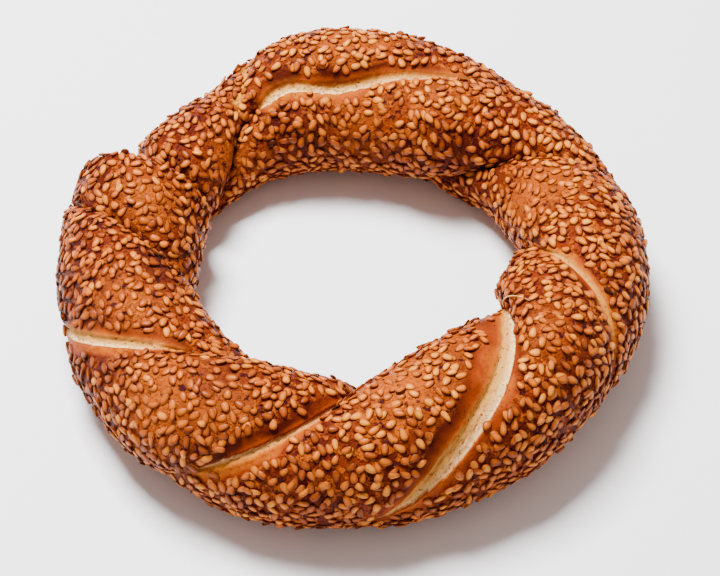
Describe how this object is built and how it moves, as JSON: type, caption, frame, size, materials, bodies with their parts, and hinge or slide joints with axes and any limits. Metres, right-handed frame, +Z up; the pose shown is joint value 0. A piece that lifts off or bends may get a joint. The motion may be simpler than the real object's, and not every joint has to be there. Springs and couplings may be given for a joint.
{
  "type": "simit",
  "caption": "Ring bread of two dough strands twisted together, browned, torn open to pale crumb along its seams, coated with sesame seeds.",
  "frame": {"origin": "under the middle of the ring's box, on the surface that it lies on", "axes": "+Z up through the ring's hole; -Y towards the side shown nearest in the picture"},
  "size_m": [0.1697, 0.1706, 0.0411],
  "materials": {
    "crust": "browned, slightly glossy dough crust",
    "crumb": "pale open crumb where the crust tore",
    "sesame": "toasted sesame seed, satin"
  },
  "bodies": {
    "root": {"simit": "crust"}
  },
  "joints": []
}
